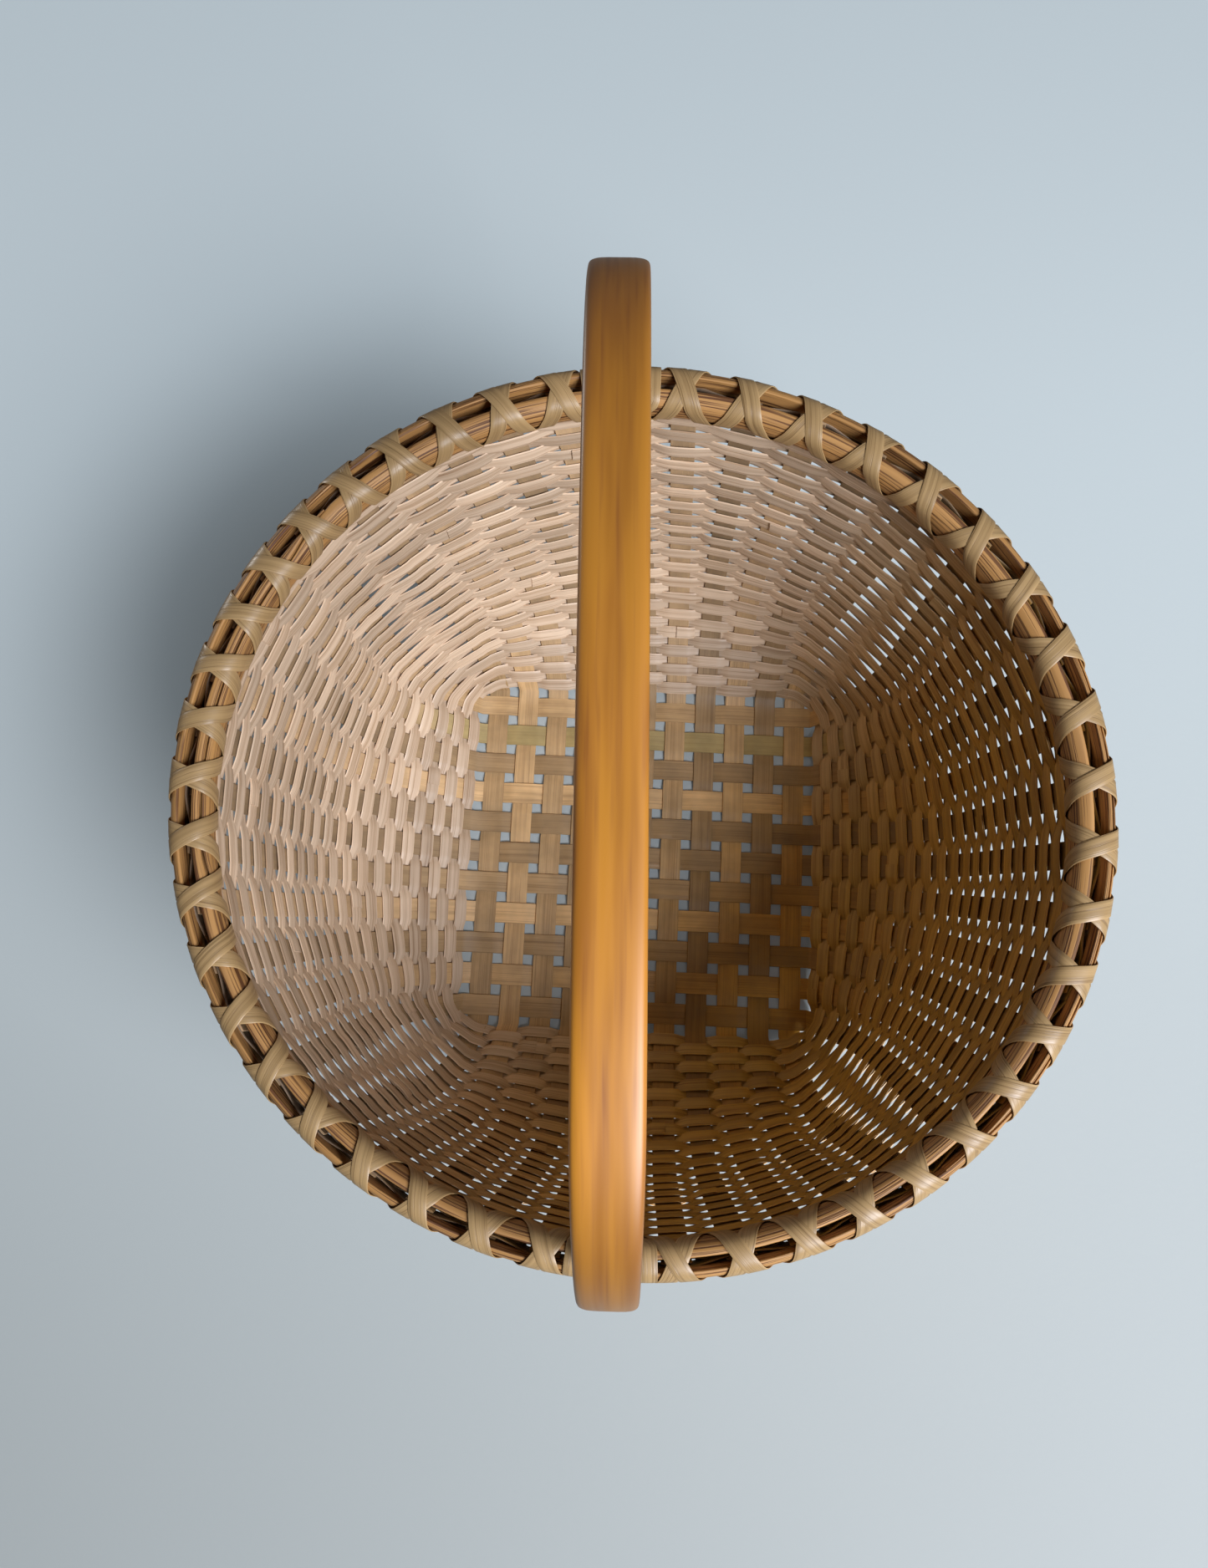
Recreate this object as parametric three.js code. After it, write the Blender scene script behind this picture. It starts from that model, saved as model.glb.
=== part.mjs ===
// Splint apple basket: a square plaited base, a round mouth, a rim of two bent hoops
// with crossed lashing, and one carved bail handle whose legs are locked in the rim.
// Millimetres, +Z up. The origin is the centre of the underside, and the handle
// runs along Y.
import * as THREE from 'three';

// Base and uprights: every splint crosses the base and climbs both walls
const splintsEachWay = 11;
const splintPitch = 17.8;
const splintWidth = 11.5;
const splintThickness = 1.0;

// Wall, measured along the middle upright of a side, from the base edge to the top
const footMargin = 3.75;
const footAngle = 31;
const footRamp = 34;
const wallBendRadius = 95;
const wallAngle = 82.5;
const rimRadius = 183.3;
const wallTop = 213;

// Handmade shape: the tops of the uprights stand a little to the left and near, the handle
// is askew, the mouth is slightly oval, and the base sits off the middle of the rim
const leanLeft = 2.8;
const leanNear = 3.1;
const skew = 1.6;
const ovalShare = 0.011;
const baseAsideX = 3.1;
const baseAsideY = -1.6;

// Weavers: narrow splints in separate rounds, over one upright and under the next
const weaverRows = 28;
const weaverWidth = 6.2;
const weaverThickness = 0.7;
const firstRowLift = 6.5;
const lastRowGap = 1.2;
const cornerWidthShare = 0.6;
const cornerRowShare = 0.5;
const swingSpare = 0.42;
const cornerSpare = 0.48;

// An upright bends between rows, more often near the foot
const bendRowShares = [0.11, 0.22, 0.36, 0.5];
const samplesAlongWall = 240;

// Rim hoops and lashing
const rimHeight = 16;
const rimTop = 215;
const innerHoopThickness = 7.3;
const outerHoopThickness = 4.2;
const hoopSides = 44;
const hoopRounding = 3;
const lashingWidth = 6.35;
const lashingThickness = 0.8;
const slantShare = 1.3;

// Bail handle
const handleWidth = 22;
const handleThickness = 8;
const handleRise = 128;
const archExponent = 5.0;
const legThickness = 2.7;
const legTuckThickness = 4.6;
const legTuckLength = 78;
const legWidth = 17;
const legTipWidth = 12;
const archSteps = 22;
const archLook = 0.02;

// Clearance that touching pieces keep
const fit = 0.3;

const wood = {
  base: new THREE.MeshStandardMaterial({ color: 0xb59068, roughness: 0.7, metalness: 0 }),
  weaver: new THREE.MeshStandardMaterial({ color: 0xcfa981, roughness: 0.65, metalness: 0 }),
  hoop: new THREE.MeshStandardMaterial({ color: 0xb08048, roughness: 0.6, metalness: 0 }),
  lashing: new THREE.MeshStandardMaterial({ color: 0xc4a67c, roughness: 0.5, metalness: 0 }),
  handle: new THREE.MeshStandardMaterial({ color: 0xc08a48, roughness: 0.55, metalness: 0 })
};

const basket = new THREE.Group();
const vertical = new THREE.Vector3(0, 0, 1);
const radians = THREE.MathUtils.degToRad;
const halfSplints = (splintsEachWay - 1) / 2;
const uprightCount = 4 * splintsEachWay;
const footReach = halfSplints * splintPitch + splintWidth / 2 + footMargin;

// Three layers in the base: low crossings, the straight splints, and high crossings
const layerStep = splintThickness + fit;
const lowLevel = splintThickness / 2;
const midLevel = lowLevel + layerStep;
const highLevel = midLevel + layerStep;

const plan = (angle) => new THREE.Vector3(Math.cos(angle), Math.sin(angle), 0);

// Sections of a ribbon, in shares of its half width and half thickness
const flatSection = [[1, 1], [1, -1], [-1, -1], [-1, 1]];
const easedSection = [
  [0.8, 1], [1, 0.4], [1, -0.4], [0.8, -1],
  [-0.8, -1], [-1, -0.4], [-1, 0.4], [-0.8, 1]
];

// A closed ribbon through a list of stations. Each station has its centre, the direction
// across the ribbon and the direction out of its face, both as half sizes. A loop joins
// its last station to its first, and a strip has two ends.
function ribbon(stations, loop, section = flatSection) {
  const positions = [];
  const index = [];
  const sides = section.length;
  for (const { centre, across, out } of stations) {
    for (const [a, o] of section) {
      const corner = centre.clone().addScaledVector(across, a).addScaledVector(out, o);
      positions.push(corner.x, corner.y, corner.z);
    }
  }
  const spans = loop ? stations.length : stations.length - 1;
  for (let i = 0; i < spans; i++) {
    const here = sides * i;
    const next = sides * ((i + 1) % stations.length);
    for (let j = 0; j < sides; j++) {
      const k = (j + 1) % sides;
      index.push(here + j, here + k, next + k);
      index.push(here + j, next + k, next + j);
    }
  }
  if (!loop) {
    const end = sides * (stations.length - 1);
    for (let j = 1; j < sides - 1; j++) {
      index.push(0, j + 1, j);
      index.push(end, end + j, end + j + 1);
    }
  }
  const geometry = new THREE.BufferGeometry();
  geometry.setAttribute('position', new THREE.Float32BufferAttribute(positions, 3));
  geometry.setIndex(index);
  return geometry;
}

// The lashing passes under the hoops, and the uprights stand straight from there up
const rimBottom = rimTop - rimHeight;
const lashingLayer = lashingThickness + 2 * fit;
const collarBottom = rimBottom - 2 * lashingLayer - fit;

// Every piece takes the handmade shape: towards the rim it grows oval, and towards
// the foot it moves aside with the base
function shapeByHand(geometry) {
  const position = geometry.getAttribute('position');
  for (let i = 0; i < position.count; i++) {
    const height = Math.min(1, position.getZ(i) / collarBottom);
    const oval = ovalShare * height;
    position.setX(i, position.getX(i) * (1 + oval) + baseAsideX * (1 - height));
    position.setY(i, position.getY(i) * (1 - oval) + baseAsideY * (1 - height));
  }
  geometry.computeVertexNormals();
}

function addPiece(name, geometry, material) {
  shapeByHand(geometry);
  const mesh = new THREE.Mesh(geometry, material);
  mesh.name = name;
  basket.add(mesh);
}

// Middle wall profile: a ramp from the foot, a round bend, a steep wall and the collar
const footTurn = radians(footAngle);
const wallTurn = radians(wallAngle);
const bendLength = wallBendRadius * (wallTurn - footTurn);
const bendTop = footRamp * Math.sin(footTurn)
  + wallBendRadius * (Math.cos(footTurn) - Math.cos(wallTurn));
const steepLength = (collarBottom - midLevel - bendTop) / Math.sin(wallTurn);
const slopeLength = footRamp + bendLength + steepLength;
const wallLength = slopeLength + wallTop - collarBottom;

// How far out and how high the middle profile is, at a distance along it
function wallProfile(distance) {
  const part = (start, length) => THREE.MathUtils.clamp(distance - start, 0, length);
  const ramp = part(0, footRamp);
  const turned = footTurn + part(footRamp, bendLength) / wallBendRadius;
  const steep = part(footRamp + bendLength, steepLength);
  const collar = part(slopeLength, wallTop - collarBottom);
  const out = ramp * Math.cos(footTurn)
    + wallBendRadius * (Math.sin(turned) - Math.sin(footTurn))
    + steep * Math.cos(wallTurn);
  const up = ramp * Math.sin(footTurn)
    + wallBendRadius * (Math.cos(footTurn) - Math.cos(turned))
    + steep * Math.sin(wallTurn)
    + collar;
  return { out, up };
}
const fullOut = wallProfile(wallLength).out;

// Weaver rows fill the slope
const rowPitch = (slopeLength - firstRowLift - lastRowGap) / weaverRows;
const rowAt = (row) => (firstRowLift + (row + 0.5) * rowPitch) / wallLength;
const bendRows = bendRowShares.map((share) => Math.round(share * weaverRows));
const bendShares = [
  0,
  ...bendRows.map((row) => (firstRowLift + row * rowPitch) / wallLength),
  slopeLength / wallLength,
  1
];

// Where upright number k of a side passes at a share of its own length
function uprightTop(side, k) {
  const sideAngle = side * Math.PI / 2;
  const nominal = sideAngle + k * 2 * Math.PI / uprightCount;
  const lean = radians(leanLeft) * Math.sin(nominal) - radians(leanNear) * Math.cos(nominal);
  return nominal + lean - radians(skew) * Math.cos(2 * nominal);
}

function uprightPoint(side, k, distance) {
  const outward = plan(side * Math.PI / 2);
  const sideways = vertical.clone().cross(outward);
  const top = plan(uprightTop(side, k)).multiplyScalar(rimRadius);
  const { out, up } = wallProfile(distance);
  const reach = THREE.MathUtils.lerp(footReach, top.dot(outward), out / fullOut);
  const climbed = Math.min(1, up / (collarBottom - midLevel));
  const along = THREE.MathUtils.lerp(k * splintPitch, top.dot(sideways), climbed);
  return new THREE.Vector3(0, 0, midLevel + up)
    .addScaledVector(outward, reach)
    .addScaledVector(sideways, along);
}

// Stations of an upright, at equal shares of its own length
function measureUpright(side, k) {
  const samples = [];
  const lengths = [0];
  for (let i = 0; i <= samplesAlongWall; i++) {
    samples.push(uprightPoint(side, k, wallLength * i / samplesAlongWall));
    if (i > 0) lengths.push(lengths[i - 1] + samples[i].distanceTo(samples[i - 1]));
  }
  return bendShares.map((share) => {
    const wanted = share * lengths[samplesAlongWall];
    let i = 1;
    while (i < samplesAlongWall && lengths[i] < wanted) i++;
    const part = (wanted - lengths[i - 1]) / (lengths[i] - lengths[i - 1]);
    return samples[i - 1].clone().lerp(samples[i], part);
  });
}

// Uprights in order round the basket: number 0 is the first one of side +X
const uprights = [];
for (let side = 0; side < 4; side++) {
  for (let k = -halfSplints; k <= halfSplints; k++) {
    uprights.push({ side, k, bends: measureUpright(side, k) });
  }
}
const uprightAt = (n) => uprights[(n + uprightCount) % uprightCount];
const uprightNumber = (side, k) => side * splintsEachWay + k + halfSplints;

// The splint's own direction across, which follows the wall between its neighbours
function acrossAt(n, bend) {
  const before = uprightAt(n - 1).bends[bend];
  const after = uprightAt(n + 1).bends[bend];
  return after.clone().sub(before).normalize();
}

// Square up a frame: across stays square to up, and out is away from the inside
function squareFrame(centre, across, up) {
  const tidyUp = up.clone().normalize();
  const tidyAcross = across.clone().addScaledVector(tidyUp, -across.dot(tidyUp)).normalize();
  return { centre, up: tidyUp, across: tidyAcross, out: tidyAcross.clone().cross(tidyUp) };
}

// Frame on an upright at one of its bends
function bendFrame(n, bend) {
  const { side, bends } = uprightAt(n);
  const outward = plan(side * Math.PI / 2);
  const sideways = vertical.clone().cross(outward);
  const below = bend === 0 ? outward : bends[bend].clone().sub(bends[bend - 1]).normalize();
  const above = bend === bends.length - 1 ? below : bends[bend + 1].clone().sub(bends[bend]).normalize();
  const across = bend === 0 ? sideways : acrossAt(n, bend);
  return squareFrame(bends[bend].clone(), across, below.clone().add(above));
}

// Frame on an upright between its bends, at a share of its length
function wallFrame(n, share) {
  const { bends } = uprightAt(n);
  let bend = 1;
  while (bend < bends.length - 1 && bendShares[bend] < share) bend++;
  const part = (share - bendShares[bend - 1]) / (bendShares[bend] - bendShares[bend - 1]);
  const centre = bends[bend - 1].clone().lerp(bends[bend], part);
  const first = bendFrame(n, bend - 1).across;
  const across = first.clone().lerp(bendFrame(n, bend).across, part);
  return squareFrame(centre, across, bends[bend].clone().sub(bends[bend - 1]));
}

// Half sizes of a splint's section in a frame
const splintStation = ({ centre, across, out }) => ({
  centre,
  across: across.clone().multiplyScalar(splintWidth / 2),
  out: out.clone().multiplyScalar(splintThickness / 2)
});

// One splint: down the far wall, across the base, and up the near wall.
// level gives the height of its middle line where it crosses splint number i.
function baseSplint(side, k, level) {
  const near = uprightNumber(side, k);
  const far = uprightNumber((side + 2) % 4, -k);
  const outward = plan(side * Math.PI / 2);
  const sideways = vertical.clone().cross(outward);
  const bendCount = bendShares.length;
  const stations = [];
  for (let bend = bendCount - 1; bend >= 0; bend--) {
    const frame = bendFrame(far, bend);
    frame.across.negate();
    stations.push(splintStation(frame));
  }
  if (level) {
    for (let i = -halfSplints; i <= halfSplints; i++) {
      for (const end of [-1, 1]) {
        const reach = i * splintPitch + end * (splintWidth / 2 + fit);
        const centre = new THREE.Vector3(0, 0, level(i))
          .addScaledVector(outward, reach)
          .addScaledVector(sideways, k * splintPitch);
        stations.push(splintStation(squareFrame(centre, sideways, outward)));
      }
    }
  }
  for (let bend = 0; bend < bendCount; bend++) {
    stations.push(splintStation(bendFrame(near, bend)));
  }
  return ribbon(stations, false);
}

// Long splints lie straight along Y. Cross splints run along X, over one and under the next.
for (let k = -halfSplints; k <= halfSplints; k++) {
  const number = String(k + halfSplints + 1).padStart(2, '0');
  const level = (i) => ((i + k) % 2 === 0 ? highLevel : lowLevel);
  addPiece(`long_splint_${number}`, baseSplint(3, k, null), wood.base);
  addPiece(`cross_splint_${number}`, baseSplint(0, k, level), wood.base);
}

// A weaver row touches each upright by turns outside and inside. Its swing is enough
// to clear the edges of the uprights on the way from one to the next. The low rows turn
// sharply at the corners of the basket, so they have a bend of their own at the edge
// that faces the corner, and there only the neighbour on the same side counts.
const cornerRows = Math.round(cornerRowShare * weaverRows);
const weaverOffset = splintThickness / 2 + fit + weaverThickness / 2 + swingSpare;
function neighbours(n, share) {
  const cornerBends = share < rowAt(cornerRows - 0.5);
  return [n - 1, n + 1].filter((m) => !cornerBends || uprightAt(m).side === uprightAt(n).side);
}

function rowSwing(n, share) {
  const here = wallFrame(n, share).centre;
  const gaps = neighbours(n, share).map((m) => here.distanceTo(wallFrame(m, share).centre));
  const spare = gaps.length < 2 ? cornerSpare : 0;
  return (weaverOffset + spare) / (1 - splintWidth / Math.min(...gaps));
}

// How far the row bulges, so that straight runs clear the edges on a curved wall
function rowBulge(n, share) {
  const here = wallFrame(n, share);
  const falls = neighbours(n, share).map((m) => {
    const run = wallFrame(m, share).centre.sub(here.centre).normalize();
    return -run.dot(here.out);
  });
  return splintWidth / 2 * Math.max(0, ...falls);
}

function weaverRow(row) {
  const share = rowAt(row);
  const stations = [];
  for (let n = 0; n < uprightCount; n++) {
    const frame = wallFrame(n, share);
    const outside = (n + row) % 2 === 0 ? 1 : -1;
    const swing = rowSwing(n, share);
    const halfUp = frame.up.clone().multiplyScalar(-weaverWidth / 2);
    const halfOut = frame.out.clone().multiplyScalar(weaverThickness / 2);
    const station = (aside, offset, narrow) => stations.push({
      centre: frame.centre.clone()
        .addScaledVector(frame.across, aside)
        .addScaledVector(frame.out, offset),
      across: halfUp.clone().multiplyScalar(narrow),
      out: halfOut.clone()
    });
    const edge = splintWidth / 2 + fit;
    const { k } = uprightAt(n);
    const cornerBends = neighbours(n, share).length < 2;
    if (cornerBends && k < 0) station(-edge, outside * weaverOffset, cornerWidthShare);
    station(0, outside * swing + rowBulge(n, share), 1);
    if (cornerBends && k > 0) station(edge, outside * weaverOffset, cornerWidthShare);
  }
  return ribbon(stations, true);
}

for (let row = 0; row < weaverRows; row++) {
  addPiece(`weaver_${String(row + 1).padStart(2, '0')}`, weaverRow(row), wood.weaver);
}

// Rim hoops: many-sided rings. The outer one clears the uprights along its flats.
const flatShare = Math.cos(Math.PI / hoopSides);
const outerHoopInside = (rimRadius + splintThickness / 2 + 2 * fit) / flatShare;
const outerHoopOutside = outerHoopInside + outerHoopThickness;
const innerHoopOutside = rimRadius - splintThickness / 2 - legThickness - 2 * fit;
const innerHoopInside = innerHoopOutside - innerHoopThickness;
const innerHoopFlats = innerHoopInside * flatShare;

function hoop(flatRadius, roundRadius) {
  const step = Math.sign(roundRadius - flatRadius) * hoopRounding;
  const outline = [
    new THREE.Vector2(flatRadius, rimBottom),
    new THREE.Vector2(roundRadius - step, rimBottom),
    new THREE.Vector2(roundRadius, rimBottom + hoopRounding),
    new THREE.Vector2(roundRadius, rimTop - hoopRounding),
    new THREE.Vector2(roundRadius - step, rimTop),
    new THREE.Vector2(flatRadius, rimTop),
    new THREE.Vector2(flatRadius, rimBottom)
  ];
  if (step < 0) outline.reverse();
  const ring = new THREE.LatheGeometry(outline, hoopSides);
  return ring.rotateX(Math.PI / 2);
}

addPiece('outer_hoop', hoop(outerHoopInside, outerHoopOutside), wood.hoop);
addPiece('inner_hoop', hoop(innerHoopOutside, innerHoopInside), wood.hoop);

// Lashing: a strip wound round both hoops, once in each space between uprights.
// Two runs go opposite ways and cross on top of the rim. The second lies over the first.
const legNumbers = [uprightNumber(1, 0), uprightNumber(3, 0)];
const uprightAngle = (n) => {
  const { side, k } = uprightAt(n);
  return uprightTop(side, k);
};
const angleGap = (from, to) => {
  const full = 2 * Math.PI;
  return ((to - from) % full + full) % full;
};
const spaceAngle = (n) => uprightAngle(n) + angleGap(uprightAngle(n), uprightAngle(n + 1)) / 2;

function lashingStation(angle, radius, height, outward, upward, width) {
  const radial = plan(angle);
  const across = vertical.clone().cross(radial);
  return {
    centre: radial.clone().multiplyScalar(radius).setZ(height),
    across: across.multiplyScalar(width / 2),
    out: radial.multiplyScalar(outward * lashingThickness / 2).setZ(upward * lashingThickness / 2)
  };
}

function lashing(direction, layer) {
  const stand = fit + lashingThickness / 2 + layer * lashingLayer;
  const outside = outerHoopOutside + stand;
  const inside = innerHoopFlats - stand;
  const above = rimTop + stand;
  const below = rimBottom - stand;
  const slantWidth = lashingWidth * slantShare;
  const legAside = (legWidth / 2 + slantWidth / 2 + fit) / innerHoopInside;
  const stations = [];
  for (let turn = 0; turn < uprightCount; turn++) {
    const n = direction > 0 ? turn : uprightCount - turn;
    const start = spaceAngle(direction > 0 ? n - 1 : n);
    const end = spaceAngle(direction > 0 ? n : n - 1);
    const atLeg = legNumbers.includes((n + uprightCount) % uprightCount);
    const over = atLeg ? uprightAngle(n) - direction * legAside : start;
    const down = atLeg ? over : end;
    stations.push(lashingStation(start, outside, below, 1, -1, lashingWidth));
    stations.push(lashingStation(over, outside, above, 1, 1, slantWidth));
    stations.push(lashingStation(down, inside, above, -1, 1, slantWidth));
    stations.push(lashingStation(end, inside, below, -1, -1, lashingWidth));
  }
  return ribbon(stations, true);
}

addPiece('lashing_under', lashing(-1, 0), wood.lashing);
addPiece('lashing_over', lashing(1, 1), wood.lashing);

// Bail handle: a squarish arch whose thin legs pass between the inner hoop and the
// uprights. Below the hoop each leg is thick again, which locks it, and its end is
// tucked down the inside of the wall.
const legRadius = innerHoopOutside + fit + legThickness / 2;
const legEnds = [uprightNumber(3, 0), uprightNumber(1, 0)].map((n) => {
  const radial = plan(uprightAngle(n));
  return { n, radial, foot: radial.clone().multiplyScalar(legRadius) };
});
const archAlong = legEnds[1].foot.clone().sub(legEnds[0].foot);
const archHalf = archAlong.length() / 2;
archAlong.normalize();
const archAcross = archAlong.clone().cross(vertical);
const archCentre = legEnds[0].foot.clone().add(legEnds[1].foot).multiplyScalar(0.5);

const handleStation = ({ centre, across, out }, width, thickness) => ({
  centre,
  across: across.clone().multiplyScalar(width / 2),
  out: out.clone().multiplyScalar(thickness / 2)
});

// Stations of one leg from its tip up, as seen climbing. flip turns them for the far leg.
function legStations({ n, radial, foot }, flip) {
  const slopeTop = slopeLength / wallLength;
  const tuckBottom = (slopeLength - legTuckLength) / wallLength;
  const tuckInset = rowSwing(n, slopeTop) + weaverThickness / 2 + fit + legTuckThickness / 2;
  const tucked = (share, width, thickness) => {
    const frame = wallFrame(n, share);
    frame.centre.addScaledVector(frame.out, -tuckInset);
    return handleStation(frame, width, thickness);
  };
  const sideways = vertical.clone().cross(radial);
  const standing = (height, width, thickness) => {
    const frame = squareFrame(foot.clone().setZ(height), sideways, vertical);
    return handleStation(frame, width, thickness);
  };
  const tipThickness = legTuckThickness / 2;
  const stations = [
    tucked(tuckBottom, legTipWidth, tipThickness),
    tucked((tuckBottom + slopeTop) / 2, legWidth, legTuckThickness),
    tucked(slopeTop, legWidth, legTuckThickness),
    standing(rimBottom - fit, legWidth, legThickness),
    standing(rimTop + fit, legWidth, legThickness),
    standing(rimTop + 2 * lashingLayer + fit, legWidth, handleThickness)
  ];
  if (flip) stations.forEach(({ across }) => across.negate());
  return stations;
}

function handleGeometry() {
  const stations = legStations(legEnds[0], false);
  const archBase = rimTop + 2 * lashingLayer + fit;
  const rise = rimTop + handleRise - archBase;
  const archPoint = (turn) => {
    const run = Math.sign(Math.cos(turn)) * Math.abs(Math.cos(turn)) ** (2 / archExponent);
    const climb = Math.sin(turn) ** (2 / archExponent);
    return archCentre.clone()
      .addScaledVector(archAlong, -archHalf * run)
      .setZ(archBase + rise * climb);
  };
  for (let i = 1; i < archSteps; i++) {
    const turn = Math.PI * i / archSteps;
    const ahead = archPoint(turn + archLook).sub(archPoint(turn - archLook));
    const frame = squareFrame(archPoint(turn), archAcross, ahead);
    stations.push(handleStation(frame, handleWidth, handleThickness));
  }
  stations.push(...legStations(legEnds[1], true).reverse());
  return ribbon(stations, false, easedSection);
}

addPiece('bail_handle', handleGeometry(), wood.handle);

export default basket;
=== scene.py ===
import bisect
import math
import random

import bmesh
import bpy
from bpy.props import FloatProperty, FloatVectorProperty, IntProperty, PointerProperty
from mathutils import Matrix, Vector


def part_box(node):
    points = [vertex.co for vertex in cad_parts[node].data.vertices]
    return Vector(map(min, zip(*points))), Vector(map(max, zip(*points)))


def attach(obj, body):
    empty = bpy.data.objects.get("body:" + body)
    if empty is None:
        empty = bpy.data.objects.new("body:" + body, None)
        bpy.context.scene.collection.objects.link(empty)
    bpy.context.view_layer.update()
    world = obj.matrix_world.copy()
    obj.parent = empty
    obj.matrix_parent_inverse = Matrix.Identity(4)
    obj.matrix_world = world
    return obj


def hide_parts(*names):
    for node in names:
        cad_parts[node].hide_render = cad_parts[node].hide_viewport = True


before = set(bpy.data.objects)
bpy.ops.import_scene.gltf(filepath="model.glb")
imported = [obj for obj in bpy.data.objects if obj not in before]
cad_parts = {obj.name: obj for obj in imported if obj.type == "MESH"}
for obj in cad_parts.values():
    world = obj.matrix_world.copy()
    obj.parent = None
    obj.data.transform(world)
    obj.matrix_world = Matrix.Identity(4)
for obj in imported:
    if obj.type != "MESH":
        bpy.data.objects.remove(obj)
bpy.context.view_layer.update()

bl_info = {
    "name": "Splint apple basket",
    "version": (1, 0, 0),
    "blender": (4, 5, 0),
    "location": "3D View > Sidebar > Basket",
    "description": "Weaves a round splint basket on a square plaited base, with a rim and a bail handle",
    "category": "Object",
}

HOOP_LOW, HOOP_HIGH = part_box("inner_hoop")
HANDLE_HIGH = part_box("bail_handle")[1]

UP = Vector((0, 0, 1))
HEART = Vector((0, 0, 0.16))  # inside the basket, where its inside faces look
GOLDEN = 0.618034  # from the grain of one strip to that of the next
SHARP = math.radians(50)  # edges that turn further stay crisp
TIP = 0.0006  # thickness of a tapered end


def whole(name, description, default):
    return IntProperty(name=name, description=description, default=default)


def length(name, description, default):
    """A length in metres that a user may change."""
    return FloatProperty(name=name, description=description, default=default, unit="LENGTH", precision=5)


def angle(name, description, degrees):
    return FloatProperty(name=name, description=description, default=math.radians(degrees), subtype="ANGLE")


def share(name, description, default):
    return FloatProperty(name=name, description=description, default=default, precision=4)


def watts(name, description, default):
    return FloatProperty(name=name, description=description, default=default, unit="POWER")


def spot(name, description, *default):
    return FloatVectorProperty(name=name, description=description, default=default, subtype="TRANSLATION")


def colour(name, description, *screen):
    """A colour given as a painter reads it on a screen: red, green and blue from 0 to 255."""
    linear = [((x / 255 + 0.055) / 1.055) ** 2.4 for x in screen]
    keywords = {"name": name, "description": description, "default": linear}
    return FloatVectorProperty(subtype="COLOR", min=0, max=1, **keywords)


# Sizes and colours


class BasketWall(bpy.types.PropertyGroup):
    """The splints, the base that they plait and the wall that they climb"""

    each_way: whole("Splints each way", "Splints that cross the base each way", 11)
    pitch: length("Pitch", "From one splint of the base to the next", 0.0178)
    splint_width: length("Splint width", "Width of a base splint", 0.0120)
    splint_thickness: length("Splint thickness", "Thickness of a base splint", 0.0009)
    foot_margin: length("Foot margin", "From the last crossing splint to the turn of the wall", 0.0035)
    foot_height: length("Foot height", "Height of a splint's middle at the turn of the wall", 0.0018)
    foot_angle: angle("Foot angle", "How steep the wall starts", 31)
    foot_ramp: length("Foot ramp", "Straight stretch before the wall bends", 0.034)
    bend_radius: length("Bend radius", "Radius of the wall's bend", 0.095)
    wall_angle: angle("Wall angle", "How steep the wall ends", 82.5)
    collar: length("Collar", "How far below the hoops the uprights turn straight up", 0.0031)
    rim_radius: length("Rim radius", "Where the uprights stand at the rim", 0.1833)
    upright_top: length("Upright top", "Height of the cut ends of the uprights", 0.2085)
    lean_left: angle("Lean left", "How far the tops of the uprights stand to the left", 2.8)
    lean_near: angle("Lean near", "How far the tops of the uprights stand to the near side", 3.1)
    skew: angle("Skew", "How far the corners of the mouth are turned", 1.6)
    oval: share("Oval", "How much longer the mouth is along X than a circle", 0.011)
    slant: share("Slant", "How much longer the mouth is from far left to near right", 0.006)
    dome: length("Dome", "How far the middle of the base stands clear of the table", 0.0012)
    uneven: share("Uneven rim", "How much wider the rim is at the far side and narrower at the near", 0.15)
    base_aside_x: length("Base aside X", "How far the base sits off the middle of the rim", 0.0031)
    base_aside_y: length("Base aside Y", "How far the base sits off the middle of the rim", -0.0016)
    light: colour("Light splint", "The pale wood of a base splint", 206, 170, 120)
    dark: colour("Dark splint", "The grain of a base splint", 108, 74, 38)
    green: colour("Green splint", "The one splint of greener wood", 172, 152, 100)
    # Painted shade: this colour darkens and browns the inside of the right and near walls, which faces away
    # from the window.
    painted_shade_tint: colour("Painted shade tint", "Multiplies the inside's colour at the right and the near side", 244, 221, 116)
    aloft: colour("Upright", "The paler wood of the splints on the wall", 175, 146, 110)


class BasketWeavers(bpy.types.PropertyGroup):
    """The narrow splints that go round the wall"""

    rows: whole("Rows", "Rounds of weavers", 40)
    width: length("Weaver width", "Width of a weaver", 0.0072)
    waist: share("Waist", "How narrow a weaver is squeezed between two uprights", 0.915)
    corner_waist: share("Corner waist", "How much narrower still it is where the uprights fan out", 0.03)
    thickness: length("Weaver thickness", "Thickness of a weaver", 0.0007)
    first_lift: length("First lift", "From the base edge to the first row", 0.0032)
    last_gap: length("Last gap", "From the last row to the collar: negative, under the hoops", -0.0095)
    # The hidden rows' dark tone is a painted shade for the dark gap between the hoops.
    hidden: whole("Hidden rows", "Rows under the hoops, of darker wood", 2)
    hidden_width: share("Hidden width", "How much wider the hidden rows are", 1.25)
    hidden_shade_tone: share("Hidden tone", "How pale the hidden rows are, where the others are 0 to 1", -1.5)
    swing: length("Swing", "How far a weaver stands out of the wall at an upright", 0.0009)
    corner_swing: share("Corner swing", "How much further it stands out where the uprights fan out", 0.48)
    bow: length("Bow", "How much further it bows out at the middle of the upright", 0.0003)
    hold: share("Hold", "The share of an upright's width that a weaver stays on near the rim", 0.78)
    hold_low: share("Low hold", "The same near the foot", 0.95)
    overlap: share("Overlap", "How many uprights the end of a row passes its start by", 1.4)
    light: colour("Light weaver", "The pale wood of a weaver", 221, 196, 166)
    dark: colour("Dark weaver", "The grain of a weaver", 150, 114, 76)


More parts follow.
